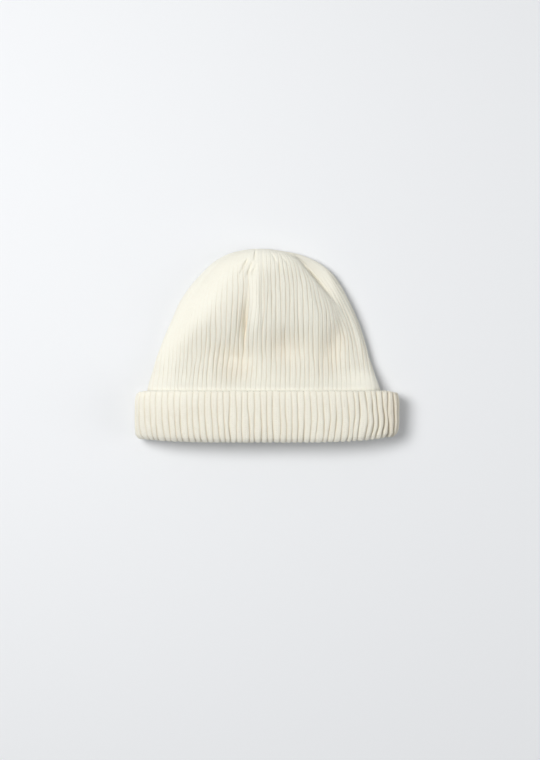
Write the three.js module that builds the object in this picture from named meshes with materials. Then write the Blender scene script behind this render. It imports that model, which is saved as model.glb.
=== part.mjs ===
// A rib-knit beanie with a turned-up cuff, lying on its back with the mouth towards -Y.
// Millimetres, +Z up. The origin is on the surface it lies on, under the middle of the hat's box.
// It is two pieces: the crown, a knitted tube whose ribs are decreased along four lines and drawn
// together at the top, and the cuff, the end of that tube rolled outwards and up round the mouth.
import * as THREE from "three";
import { mergeVertices } from "three/addons/utils/BufferGeometryUtils.js";

// Driving dimensions
const RIBS = 88; // ribs round the hat, the same number in the crown and in the cuff
const PANEL_RIBS = 17; // half of the ribs in the front panel, and half of those in the back panel
const SIDE_RIBS = RIBS / 4 - PANEL_RIBS; // half of the ribs in each side panel
const CROWN_WALL = 3.4; // thickness of the knit, crest of a rib to the inside
const CROWN_FURROW = 1.3; // depth of the furrow between two ribs of the crown
const CUFF_FURROW = 1.7; // the same on the cuff, where the knit isn't stretched
const HALF_LENGTH = 84.3; // from the hat's middle to its top, and to the fold of the cuff
const HALF_WIDTH = 114; // from the middle to the end of the cuff
const CUFF_TOP = -38.4; // y of the cast-off edge of the cuff
const CUFF_WALL = 4; // thickness of the turned-up layer, and of the layer inside it
const HEM = -69.5; // y at which the crown ends inside the fold
const HEM_GAP = 0.9; // from there to the inner leg of the cuff, which leaves 0.3 at the ends of the bow

// Shape of a cross-section: a flat oval, pressed flat where it lies on the surface
const UNDERSIDE_PRESS = 1.12; // how far the lower half would reach if the surface didn't press it flat
const LOOP_STEPS = 400; // steps of the fine polyline that ribs are spaced along

// Ribs as they are cut in the solid: a furrow, then a crest between two shoulders
const RIB_PHASES = [0, 0.2, 0.8];
const SMOOTH_PHASES = [0];
const RIB_FADE = 2; // how many ribs beside a decrease line are narrower than the others
const FULL_CREST = 0.67; // share of its width at which a narrowed rib still has its full crest
const LEAST_RIB = 0.12; // a rib narrower than this share of its width has ended

// Sections of the crown from its drawn-together top to its hem. left, right: outline. high: top of the
// front. edge: height of the widest place. under: height of the back. round, belly: exponents of the
// front and back halves of the oval. panel, side: how many ribs are left in half of a front or back
// panel and in half of a side panel.
const CROWN_COLUMNS = ["y", "left", "right", "high", "edge", "under", "round", "belly", "panel", "side"];
const CROWN_SECTIONS = [
  [84.0, -15.5, 3.5, 14.5, 9.5, 4.5, 2.0, 2.4, 3.0, 0.8],
  [82.4, -29.0, 16.5, 18.0, 9.5, 2.2, 2.0, 3.0, 5.0, 1.5],
  [79.1, -38.7, 30.5, 21.5, 9.4, 0.7, 2.1, 3.6, 6.4, 2.8],
  [72.2, -47.8, 43.9, 25.5, 9.2, 0.0, 2.1, 4.0, 8.1, 3.8],
  [63.0, -56.4, 55.2, 28.5, 9.0, 0.0, 2.2, 4.0, 10.0, 4.2],
  [51.6, -66.6, 63.8, 30.5, 9.0, 0.0, 2.2, 4.0, 12.0, 4.3],
  [37.8, -75.7, 71.4, 31.5, 9.0, 0.0, 2.2, 4.0, 13.6, 4.4],
  [22.0, -82.7, 79.2, 31.0, 9.0, 0.0, 2.2, 4.0, 14.9, 4.6],
  [7.0, -89.2, 85.7, 28.8, 9.0, 0.0, 2.2, 4.0, 16.1, 4.9],
  [-10.0, -95.5, 91.9, 28.2, 9.5, 0.0, 2.3, 4.0, 17.1, 5.3],
  [-26.0, -100.2, 97.0, 30.0, 10.5, 1.4, 2.4, 3.6, 17.5, 5.5],
  [-36.0, -102.8, 100.6, 31.6, 12.5, 4.6, 2.6, 3.2, 17.5, 5.5],
  [-46.0, -104.0, 102.6, 32.4, 14.5, 5.2, 2.7, 3.0, 17.5, 5.5],
  [-58.0, -105.4, 104.6, 32.8, 16.0, 5.6, 2.8, 3.0, 17.5, 5.5],
  [HEM, -107.0, 106.9, 31.4, 17.0, 6.9, 2.8, 3.0, 17.5, 5.5],
];
const RIBBED_TO = 11; // the last section with ribs: below it the cuff hides the crown
const TOP_POINT = { x: -6, y: HALF_LENGTH, z: 9.5 }; // where the ribs are drawn together
const TOP_WALL = 5.4; // thickness of the gathered knit there
const PANEL_MIDDLE = -4; // x of the middle rib of the crown's front
const INNER_SECTIONS = [14, 12.5, 11, 9.5, 8, 6.5, 5, 4, 3, 2]; // where the inside is sectioned

// The cuff's outer face. It lies flat underneath, so its back is at height 0.
const CUFF_COLUMNS = ["y", "left", "right", "high", "edge", "under", "round", "belly"];
const CUFF_SECTIONS = [
  [-34, -112.2, 112.6, 36.0, 16.0, 0, 2.7, 3.0],
  [-46, -113.6, 113.9, 37.6, 17.0, 0, 2.8, 3.0],
  [-60, -HALF_WIDTH, HALF_WIDTH, 38.6, 17.5, 0, 2.8, 3.0],
  [-74, -113.8, 113.6, 38.4, 17.5, 0, 2.8, 3.0],
  [-88, -112.6, 112.0, 37.6, 17.5, 0, 2.8, 3.0],
];
// The cuff cut across: y, and the depth under its outer face. From the cast-off edge down the outside,
// round the fold to the inner leg, which meets the crown's hem, and back up inside the turned-up layer.
const FOLD_COLUMNS = ["y", "inset", "ribbed"];
const CUFF_FOLD = [
  [CUFF_TOP, 1.3, 1],
  [CUFF_TOP - 2.2, 0.0, 1],
  [-58.0, 0.0, 1],
  [-73.5, 0.2, 1],
  [-80.8, 2.0, 1],
  [-HALF_LENGTH, 5.6, 1],
  [-81.6, 9.2, 0],
  [-76.0, 10.6, 0],
  [HEM - HEM_GAP, 10.3, 0],
  [HEM - HEM_GAP, 7.0, 0],
  [-76.4, 6.8, 0],
  [-79.4, 5.4, 0],
  [-76.4, CUFF_WALL, 0],
  [-58.0, CUFF_WALL, 0],
  [CUFF_TOP - 1.6, CUFF_WALL, 0],
  [CUFF_TOP, 2.9, 0],
];
// The fold bows: its ends lie further up than its middle, by END_LIFT, and from BOW_START on downwards.
const END_LIFT = 5.2;
const BOW_START = -44;
const BOW_POWER = 4;

// Soft folds and dents of the front. x, y: middle. across, along: reach each way. turn: degrees that
// the long way leans from +Y towards +X. lift: height of its middle, negative for a dent.
const DENT_COLUMNS = ["x", "y", "across", "along", "turn", "lift"];
const DENTS = [
  [-11, 38, 5.5, 36, 0, 2.0], // ridge that runs down from the top
  [-22, 22, 6.5, 27, 3, -3.4], // valley close on its left
  [-42, 4, 22, 20, 30, -2.6], // hollow beside that valley
  [10, 4, 17, 13, 0, -2.0], // dip right of the ridge
  [41, 58, 4.2, 24, -38, -3.6], // crease along the right-hand decrease line
  [47, -6, 5, 26, -4, -1.6], // faint valley that runs down to the cuff
  [74, 12, 10, 20, -16, -1.4], // hollow inside the right edge
];
const DENT_RISE = 0.6; // share of the front's height, above its edge, over which the dents set in

// How closely a surface is felt out and joined
const SHARE_STEP = 0.004; // step round a section that gives its outward direction
const PLACE_STEP = 0.08; // step from section to section for the same
const JOIN = 1e-3; // points nearer than this are one

const clamp = (v, low, high) => Math.min(high, Math.max(low, v));
const smooth = (v) => v * v * (3 - 2 * v);

// A table's rows as objects with named columns.
function tableOf(columns, rows) {
  return rows.map((row) => Object.fromEntries(columns.map((name, i) => [name, row[i]])));
}

const crownTable = tableOf(CROWN_COLUMNS, CROWN_SECTIONS);
const cuffTable = tableOf(CUFF_COLUMNS, CUFF_SECTIONS);
const foldTable = tableOf(FOLD_COLUMNS, CUFF_FOLD);
const dentTable = tableOf(DENT_COLUMNS, DENTS);

// One smooth curve through four values, at the share f of the way from the second to the third.
function curve(a, b, c, d, f) {
  const leave = ((c - a) / 2) * (f * f * f - 2 * f * f + f);
  const arrive = ((d - b) / 2) * (f * f * f - f * f);
  return b + (c - b) * smooth(f) + leave + arrive;
}

// The section at place t of a table, where 2.5 is half way from row 2 to row 3.
function sectionAt(table, t) {
  const last = table.length - 1;
  const place = clamp(t, 0, last);
  const i = Math.min(Math.floor(place), last - 1);
  const row = (n) => table[clamp(n, 0, last)];
  const made = {};
  for (const name of Object.keys(table[0])) {
    made[name] = curve(row(i - 1)[name], row(i)[name], row(i + 1)[name], row(i + 2)[name], place - i);
  }
  return made;
}

// The place t in a table, whose y falls from row to row, at which y is reached.
function placeOf(table, y) {
  const below = table.findIndex((row) => row.y <= y);
  const i = below < 0 ? table.length - 2 : Math.max(0, below - 1);
  return i + (table[i].y - y) / (table[i].y - table[i + 1].y);
}

// A section's outline as a closed polyline of {x, z, way}, clockwise from above its middle.
function loopOf(section) {
  const middle = (section.left + section.right) / 2;
  const half = (section.right - section.left) / 2;
  const points = [];
  let way = 0;
  for (let k = 0; k <= LOOP_STEPS; k++) {
    const angle = Math.PI / 2 - (2 * Math.PI * k) / LOOP_STEPS;
    const c = Math.cos(angle);
    const s = Math.sin(angle);
    const power = 2 / (s >= 0 ? section.round : section.belly);
    const rise = Math.abs(s) ** power;
    const x = middle + half * Math.sign(c) * Math.abs(c) ** power;
    const front = section.edge + (section.high - section.edge) * rise;
    const back = section.edge - (section.edge - section.under) * UNDERSIDE_PRESS * rise;
    const z = s >= 0 ? front : Math.max(section.under, back);
    if (k) way += Math.hypot(x - points[k - 1].x, z - points[k - 1].z);
    points.push({ x, z, way });
  }
  return points;
}

// How far round a loop its front crosses x.
function wayAt(loop, x) {
  const quarter = LOOP_STEPS / 4;
  for (let i = -quarter; i < quarter; i++) {
    const from = loop[(i + LOOP_STEPS) % LOOP_STEPS];
    const to = loop[(i + 1 + LOOP_STEPS) % LOOP_STEPS];
    if (from.x <= x && x < to.x) {
      return from.way + ((x - from.x) / (to.x - from.x)) * Math.hypot(to.x - from.x, to.z - from.z);
    }
  }
  return 0;
}

// The point at a share of the way round a loop, counted from where its front crosses x = start.
function alongLoop(loop, start, share) {
  const whole = loop[LOOP_STEPS].way;
  const turns = wayAt(loop, start) / whole + share;
  const way = (turns - Math.floor(turns)) * whole;
  let low = 0;
  let high = LOOP_STEPS;
  while (high - low > 1) {
    const mid = (low + high) >> 1;
    if (loop[mid].way <= way) low = mid;
    else high = mid;
  }
  const f = (way - loop[low].way) / (loop[high].way - loop[low].way);
  const x = loop[low].x + f * (loop[high].x - loop[low].x);
  const z = loop[low].z + f * (loop[high].z - loop[low].z);
  return { x, z };
}

// How far the soft folds lift the front at x, y.
function liftAt(x, y) {
  let lift = 0;
  for (const dent of dentTable) {
    const lean = THREE.MathUtils.degToRad(dent.turn);
    const dx = x - dent.x;
    const dy = y - dent.y;
    const across = (dx * Math.cos(lean) - dy * Math.sin(lean)) / dent.across;
    const along = (dx * Math.sin(lean) + dy * Math.cos(lean)) / dent.along;
    lift += dent.lift * Math.exp(-across * across - along * along);
  }
  return lift;
}

// How far the ends of the fold lie above its middle, at x and y.
function bowAt(x, y) {
  const share = smooth(clamp((BOW_START - y) / (BOW_START + HALF_LENGTH), 0, 1));
  return END_LIFT * share * Math.abs(x / HALF_WIDTH) ** BOW_POWER;
}

// The share of its full width that a rib has, when `left` ribs remain in its half panel.
function ribWidth(left, index) {
  const width = smooth(clamp((left - index + 0.5) / RIB_FADE, 0, 1));
  return width < LEAST_RIB ? 0 : width;
}

// The widths of all ribs in a section. They run from the front's middle round by the right.
function ribWidths(section) {
  const widths = [];
  for (let k = 0; k < RIBS; k++) {
    const fromFront = Math.min(k, RIBS - 1 - k);
    const fromMiddle = fromFront < RIBS / 4 ? fromFront : RIBS / 2 - 1 - fromFront;
    if (fromMiddle < PANEL_RIBS) widths.push(ribWidth(section.panel, fromMiddle));
    else widths.push(ribWidth(section.side, SIDE_RIBS - 1 - (fromMiddle - PANEL_RIBS)));
  }
  return widths;
}

// The crown's columns in a section: how far round each lies, and how much of a furrow it has.
function crownColumns(section, phases) {
  const widths = ribWidths(section);
  const whole = widths.reduce((sum, w) => sum + w, 0);
  const columns = [];
  let before = 0;
  widths.forEach((width, k) => {
    for (const phase of phases) {
      const crest = phase > 0 ? Math.min(1, width / FULL_CREST) : 0;
      columns.push({ u: k + phase, share: (before + phase * width) / whole, furrow: 1 - crest });
    }
    before += width;
  });
  return columns;
}

// A point on the crown's outer face, without ribs.
function crownFace(t, share) {
  const section = sectionAt(crownTable, t);
  const p = alongLoop(loopOf(section), PANEL_MIDDLE, share);
  const height = (p.z - section.edge) / (section.high - section.edge);
  const front = smooth(clamp(height / DENT_RISE, 0, 1));
  const y = section.y + bowAt(p.x, section.y);
  return new THREE.Vector3(p.x, y, p.z + front * liftAt(p.x, section.y));
}

// The crown's outward direction there.
function crownOut(t, share) {
  const before = Math.max(t - PLACE_STEP, 0);
  const after = Math.min(t + PLACE_STEP, crownTable.length - 1);
  const round = crownFace(t, share + SHARE_STEP).sub(crownFace(t, share - SHARE_STEP));
  const down = crownFace(after, share).sub(crownFace(before, share));
  return down.cross(round).normalize();
}

// A ring of the crown at place t, sunk by depth, and by the furrows of its ribs.
function crownRing(t, phases, depth, furrow) {
  return crownColumns(sectionAt(crownTable, t), phases).map((column) => {
    const sunk = depth + furrow * column.furrow;
    const out = crownOut(t, column.share);
    return { u: column.u, p: crownFace(t, column.share).addScaledVector(out, -sunk) };
  });
}

// A ring of the cuff at a row of its fold. Its furrows are cut square to the folded layer.
function cuffRing(index) {
  const row = foldTable[index];
  const before = foldTable[(index + foldTable.length - 1) % foldTable.length];
  const after = foldTable[(index + 1) % foldTable.length];
  const loop = loopOf(sectionAt(cuffTable, placeOf(cuffTable, row.y)));
  const run = new THREE.Vector2(after.y - before.y, after.inset - before.inset).normalize();
  const ring = [];
  for (let k = 0; k < RIBS; k++) {
    for (const phase of row.ribbed ? RIB_PHASES : SMOOTH_PHASES) {
      const share = (k + phase) / RIBS;
      const p = alongLoop(loop, 0, share);
      const a = alongLoop(loop, 0, share - SHARE_STEP);
      const b = alongLoop(loop, 0, share + SHARE_STEP);
      const out = new THREE.Vector2(-(b.z - a.z), b.x - a.x).normalize();
      const sunk = row.ribbed && phase === 0 ? CUFF_FURROW : 0;
      const inset = row.inset - sunk * run.x;
      const x = p.x - inset * out.x;
      const y = row.y + sunk * run.y + bowAt(x, row.y);
      ring.push({ u: k + phase, p: new THREE.Vector3(x, y, p.z - inset * out.y) });
    }
  }
  return ring;
}

// Triangles between two rings, whose points are in order of u and may differ in number. Each step
// takes the shorter of the two ways across.
function skin(triangles, one, two) {
  const u = (ring, n) => (n < ring.length ? ring[n].u : RIBS + ring[n - ring.length].u);
  let i = 0;
  let j = 0;
  while (i < one.length || j < two.length) {
    const a = one[i % one.length].p;
    const b = two[j % two.length].p;
    const reachA = i < one.length ? u(one, i + 1) - u(two, j) : Infinity;
    const reachB = j < two.length ? u(two, j + 1) - u(one, i) : Infinity;
    if (reachA <= reachB) {
      i += 1;
      triangles.push([a, b, one[i % one.length].p]);
    } else {
      j += 1;
      triangles.push([a, b, two[j % two.length].p]);
    }
  }
}

// A fan from a ring to one point.
function fan(triangles, ring, point, turned) {
  ring.forEach((here, i) => {
    const next = ring[(i + 1) % ring.length].p;
    triangles.push(turned ? [point, next, here.p] : [point, here.p, next]);
  });
}

// A closed geometry from triangles, with the ones that have collapsed left out.
function geometryOf(triangles) {
  const loose = new THREE.BufferGeometry().setFromPoints(triangles.flat());
  const merged = mergeVertices(loose, JOIN);
  const index = [];
  for (let i = 0; i < merged.index.count; i += 3) {
    const [a, b, c] = [merged.index.getX(i), merged.index.getX(i + 1), merged.index.getX(i + 2)];
    if (a !== b && b !== c && c !== a) index.push(a, b, c);
  }
  merged.setIndex(index);
  merged.computeVertexNormals();
  return merged;
}

// The crown: an outer face with ribs, a hem, and a plain inside, each drawn together at the top.
function crownGeometry() {
  const outer = crownTable.map((row, t) => {
    const ribbed = t <= RIBBED_TO;
    return crownRing(t, ribbed ? RIB_PHASES : SMOOTH_PHASES, 0, ribbed ? CROWN_FURROW : 0);
  });
  const inner = INNER_SECTIONS.map((t) => crownRing(t, SMOOTH_PHASES, CROWN_WALL, 0));
  const rings = [...outer, ...inner];
  const top = new THREE.Vector3(TOP_POINT.x, TOP_POINT.y, TOP_POINT.z);
  const topInside = new THREE.Vector3(TOP_POINT.x, TOP_POINT.y - TOP_WALL, TOP_POINT.z);
  const triangles = [];
  fan(triangles, rings[0], top, false);
  for (let i = 1; i < rings.length; i++) skin(triangles, rings[i - 1], rings[i]);
  fan(triangles, rings[rings.length - 1], topInside, true);
  return geometryOf(triangles);
}

// The cuff: rings round its fold, closed on itself.
function cuffGeometry() {
  const rings = foldTable.map((row, i) => cuffRing(i));
  const triangles = [];
  rings.forEach((ring, i) => skin(triangles, ring, rings[(i + 1) % rings.length]));
  return geometryOf(triangles);
}

const knit = { color: new THREE.Color("#efe8d8"), roughness: 0.92, metalness: 0 };

function pieceOf(name, geometry) {
  const mesh = new THREE.Mesh(geometry, new THREE.MeshStandardMaterial(knit));
  mesh.name = name;
  return mesh;
}

const beanie = new THREE.Group();
beanie.add(pieceOf("crown", crownGeometry()));
beanie.add(pieceOf("cuff", cuffGeometry()));

export default beanie;
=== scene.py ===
"""A cream rib-knit beanie with a turned-up cuff, lying on its back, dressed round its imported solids.

The crown and the cuff are knitted shells with a right side, a wrong side and an edge all round. Each is
sectioned from a short table of real sizes in millimetres, and a Geometry Nodes tree then cuts the furrows
between its ribs and lets the ribs wander.
"""

import logging
import math
from dataclasses import dataclass, field
from enum import Enum

import bpy
import numpy as np
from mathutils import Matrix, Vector


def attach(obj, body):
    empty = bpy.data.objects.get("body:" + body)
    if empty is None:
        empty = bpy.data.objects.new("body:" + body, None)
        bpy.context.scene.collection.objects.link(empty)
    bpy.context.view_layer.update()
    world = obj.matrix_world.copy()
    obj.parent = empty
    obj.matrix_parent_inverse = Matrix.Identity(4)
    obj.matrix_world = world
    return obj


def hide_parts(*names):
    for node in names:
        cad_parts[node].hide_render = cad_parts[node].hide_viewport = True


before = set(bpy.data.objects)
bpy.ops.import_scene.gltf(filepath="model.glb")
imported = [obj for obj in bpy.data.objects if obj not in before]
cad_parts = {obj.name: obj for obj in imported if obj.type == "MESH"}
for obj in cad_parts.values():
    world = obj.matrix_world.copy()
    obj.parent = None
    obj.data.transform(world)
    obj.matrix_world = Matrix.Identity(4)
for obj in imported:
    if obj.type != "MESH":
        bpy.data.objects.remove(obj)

log = logging.getLogger("beanie")

MM = 0.001
TINY = 1e-9
BODY = "root"
PHOTO_HEIGHT = 760  # in pixels
PIXEL = 0.86  # in millimetres of the floor

RIBS = 92
PANEL_RIBS = 18  # in half of a front or back panel
SIDE_RIBS = RIBS // 4 - PANEL_RIBS  # in half of a side panel
ROW_HEIGHT = 2.0  # from one row of stitches to the next

OVAL_STEPS = 720
UNDERSIDE_PRESS = 1.12  # how far an oval would reach down unpressed, against how far it does
RIB_FADE = 2.0  # ribs over which the width fades in a side panel
PANEL_FADE = 14.0  # ribs over which it fades in a front or back panel
FULL_CREST = 0.67  # share of its width from which a rib has its full crest
LEAST_RIB = 0.04  # share of its width under which a rib is left out
LEAST_FURROW = 0.15  # share of its depth that a furrow keeps everywhere
DEPTH_SWING = 0.25  # share by which the depth of the furrows swings over the hat
FURROW_STEP = 3.7  # from furrow to furrow, in the noises that differ between them
BESIDE = 0.003  # share of the way round to a point close by

# Sizes that the crown and the cuff share, in millimetres
HALF_LENGTH = 84.3
HALF_WIDTH = 114.0
CUFF_TOP = -38.4
HEM = -69.5
FOLD = -83.0
HEM_GAP = 0.9
CUFF_WALL = 4.0
LEFT_END_LIFT = 3.6
RIGHT_END_LIFT = 6.0
BOW_START = -44.0
BOW_POWER = 4


class Gauge(Enum):
    """How closely the columns of a ring follow one rib, as shares of the rib's width."""

    FINE = (0.0, 0.08, 0.2, 0.35, 0.5, 0.65, 0.8, 0.92)
    INSIDE = (0.0, 0.33, 0.67)
    HIDDEN = (0.0, 0.5)


class Noise(Enum):
    """A noise over the hat: its cycles in a metre along X, Y and Z, and its shift."""

    DEPTH = ((70, 30, 70), 3.0)
    SURFACE = ((110, 60, 110), 11.0)
    WANDER = ((130, 70, 130), 23.0)
    LEAN = ((16, 18, 16), 31.0)


class FurrowNoise(Enum):
    """A noise that differs from furrow to furrow: its shift, and its pace along a furrow."""

    DEPTH = (5.0, 60.0)
    SHIFT = (17.0, 22.0)


def smooth(v: np.ndarray | float) -> np.ndarray | float:
    """Eases a share between 0 and 1 at both ends."""
    v = np.clip(v, 0.0, 1.0)
    return v * v * (3 - 2 * v)


def hill(v: np.ndarray, middle: float, reach: float) -> np.ndarray:
    """A soft hill of height 1 over its middle."""
    return np.exp(-(((v - middle) / reach) ** 2))


def half_turns(share: np.ndarray) -> np.ndarray:
    """Counts shares of the way round from -0.5 to 0.5."""
    return np.mod(share + 0.5, 1.0) - 0.5


def evenly(fine: np.ndarray, steps: np.ndarray, step: float) -> list[float]:
    """Picks places that lie about a step apart.

    Args:
        fine: Places in close order.
        steps: The distance from each of them to the next.
        step: The distance wanted.

    Returns:
        The places.
    """
    way = np.concatenate([[0.0], np.cumsum(steps)])
    count = max(2, round(way[-1] / step) + 1)
    return np.interp(np.linspace(0, way[-1], count), way, fine).tolist()


@dataclass(frozen=True)
class Table:
    """Sizes in rows with named columns, read at any place between two rows.

    A place of 2.5 is half way from row 2 to row 3.
    """

    columns: tuple[str, ...]
    rows: tuple[tuple[float, ...], ...]

    def at(self, place: float, closed: bool = False) -> dict[str, float]:
        """Reads the table at a place, on a smooth curve through its rows.

        Args:
            place: The place, which is kept within the table unless the table is closed.
            closed: Whether the last row is followed by the first.

        Returns:
            A value for each column.
        """
        rows = np.array(self.rows)
        count = len(rows)
        if not closed:
            place = min(max(place, 0.0), count - 1.0)
        first = int(math.floor(place)) if closed else min(int(place), count - 2)
        f = place - first
        picks = [first - 1, first, first + 1, first + 2]
        picks = [p % count if closed else min(max(p, 0), count - 1) for p in picks]
        a, b, c, d = rows[picks]
        leave = (c - a) / 2 * (f**3 - 2 * f**2 + f)
        arrive = (d - b) / 2 * (f**3 - f**2)
        value = b + (c - b) * smooth(f) + leave + arrive
        return dict(zip(self.columns, value.tolist()))

    def place_of(self, y: float) -> float:
        """Finds where a y is reached.

        Args:
            y: The y, which falls from row to row.

        Returns:
            The place.
        """
        ys = np.array(self.rows)[:, self.columns.index("y")]
        i = int(np.clip(np.searchsorted(-ys, -y) - 1, 0, len(ys) - 2))
        return i + (ys[i] - y) / (ys[i] - ys[i + 1])


@dataclass
class Oval:
    """The outline of a cross-section: a flat oval, pressed flat where it lies on the surface."""

    section: dict[str, float]

    def __post_init__(self) -> None:
        """Works out the outline, clockwise from above its middle, seen from the mouth."""
        s = self.section
        middle = (s["left"] + s["right"]) / 2
        half = (s["right"] - s["left"]) / 2
        angle = np.pi / 2 - 2 * np.pi * np.arange(OVAL_STEPS + 1) / OVAL_STEPS
        cos, sin = np.cos(angle), np.sin(angle)
        power = np.where(sin >= 0, 2 / s["round"], 2 / s["belly"])
        rise = np.abs(sin) ** power
        front = s["edge"] + (s["high"] - s["edge"]) * rise
        back = s["edge"] - (s["edge"] - s["under"]) * UNDERSIDE_PRESS * rise
        self.x = middle + half * np.sign(cos) * np.abs(cos) ** power
        self.z = np.where(sin >= 0, front, np.maximum(s["under"], back))
        steps = np.hypot(np.diff(self.x), np.diff(self.z))
        self.way = np.concatenate([[0.0], np.cumsum(steps)])

    @property
    def around(self) -> float:
        """The length of the outline."""
        return float(self.way[-1])

    def along(self, start: float, share: np.ndarray) -> tuple[np.ndarray, np.ndarray]:
        """Finds points at shares of the way round, counted from where the front crosses x = start.

        Args:
            start: The x from which the shares count.
            share: Shares of the way round, towards +X on the front.

        Returns:
            The x and z of the points.
        """
        quarter = OVAL_STEPS // 4
        x = np.concatenate([self.x[-quarter - 1:-1], self.x[:quarter + 1]])
        way = np.concatenate([self.way[-quarter - 1:-1] - self.around, self.way[:quarter + 1]])
        at = np.mod(np.interp(start, x, way) + share * self.around, self.around)
        return np.interp(at, self.way, self.x), np.interp(at, self.way, self.z)


@dataclass
class Ring:
    """One row of points round the hat, with what the rib tree needs to know at each of them, and how much
    shade is painted there.
    """

    rib: np.ndarray
    row: float
    place: np.ndarray
    out: np.ndarray
    across: np.ndarray
    crest: np.ndarray
    relief: np.ndarray
    dent_shade: np.ndarray | float = 0.0


def unit(v: np.ndarray) -> np.ndarray:
    """Scales each vector to length 1."""
    return v / np.maximum(np.linalg.norm(v, axis=1, keepdims=True), TINY)


def bow(x: np.ndarray, y: np.ndarray | float) -> np.ndarray:
    """How far the ends of the fold lie above its middle.

    Args:
        x: The points' x.
        y: Their y.

    Returns:
        The distance at each point.
    """
    share = smooth((BOW_START - y) / (BOW_START + HALF_LENGTH))
    lift = np.where(x < 0, LEFT_END_LIFT, RIGHT_END_LIFT)
    return lift * share * np.abs(x / HALF_WIDTH) ** BOW_POWER


@dataclass
class Shell:
    """A closed knitted shell, as rings that are skinned in order."""

    name: str
    rings: list[Ring] = field(default_factory=list)

    def faces(self) -> tuple[list[tuple[int, ...]], list[tuple[float, float]]]:
        """Skins each ring to the next.

        Returns:
            The faces, and the knit coordinates of their corners: rib number and row number.
        """
        starts = np.cumsum([0] + [len(r.rib) for r in self.rings])
        faces: list[tuple[int, ...]] = []
        corners: list[tuple[float, float]] = []
        for i, (one, two) in enumerate(zip(self.rings, self.rings[1:])):
            if np.array_equal(one.rib, two.rib):
                n = len(one.rib)
                j = np.arange(n)
                k = (j + 1) % n
                a, b = starts[i], starts[i + 1]
                faces += list(zip((a + j).tolist(), (b + j).tolist(), (b + k).tolist(), (a + k).tolist()))
                here = one.rib
                there = np.concatenate([one.rib[1:], [one.rib[0] + RIBS]])
                for u, v in zip(here.tolist(), there.tolist()):
                    corners += [(u, one.row), (u, two.row), (v, two.row), (v, one.row)]
            else:
                self.zip_rings(i, starts, faces, corners)
        return faces, corners

    def zip_rings(self, i: int, starts: np.ndarray, faces: list, corners: list) -> None:
        """Skins ring i to the next, which has another number of points, with triangles.

        Args:
            i: The first ring.
            starts: The first vertex of each ring.
            faces: The list that the triangles are added to.
            corners: The list that their knit coordinates are added to.
        """
        one, two = self.rings[i], self.rings[i + 1]
        u_one = np.concatenate([one.rib, one.rib[:1] + RIBS])
        u_two = np.concatenate([two.rib, two.rib[:1] + RIBS])
        j = k = 0
        while j < len(one.rib) or k < len(two.rib):
            a = (int(starts[i] + j % len(one.rib)), (float(u_one[j]), one.row))
            b = (int(starts[i + 1] + k % len(two.rib)), (float(u_two[k]), two.row))
            reach_one = u_one[j + 1] - u_two[k] if j < len(one.rib) else math.inf
            reach_two = u_two[k + 1] - u_one[j] if k < len(two.rib) else math.inf
            if reach_one <= reach_two:
                j += 1
                c = (int(starts[i] + j % len(one.rib)), (float(u_one[j]), one.row))
            else:
                k += 1
                c = (int(starts[i + 1] + k % len(two.rib)), (float(u_two[k]), two.row))
            faces.append((a[0], b[0], c[0]))
            corners += [a[1], b[1], c[1]]

    def build(self) -> bpy.types.Object:
        """Makes the shell's object.

        Returns:
            The object, with the knit's coordinates as its UV map and the rest as attributes.
        """
        faces, corners = self.faces()
        mesh = bpy.data.meshes.new(self.name)
        place = np.concatenate([r.place for r in self.rings]) * MM
        mesh.from_pydata(place.tolist(), [], faces)
        uv = mesh.uv_layers.new(name="knit")
        uv.data.foreach_set("uv", np.array(corners, np.float32).ravel())
        for name in ("out", "across"):
            layer = mesh.attributes.new(name, "FLOAT_VECTOR", "POINT")
            value = np.concatenate([getattr(r, name) for r in self.rings])
            layer.data.foreach_set("vector", value.astype(np.float32).ravel())
        for name in ("rib", "crest", "relief", "dent_shade"):
            layer = mesh.attributes.new(name, "FLOAT", "POINT")
            value = np.concatenate([getattr(r, name) * np.ones(len(r.rib)) for r in self.rings])
            layer.data.foreach_set("value", value.astype(np.float32))
        made = bpy.data.objects.new(self.name, mesh)
        bpy.context.scene.collection.objects.link(made)
        return made


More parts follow.
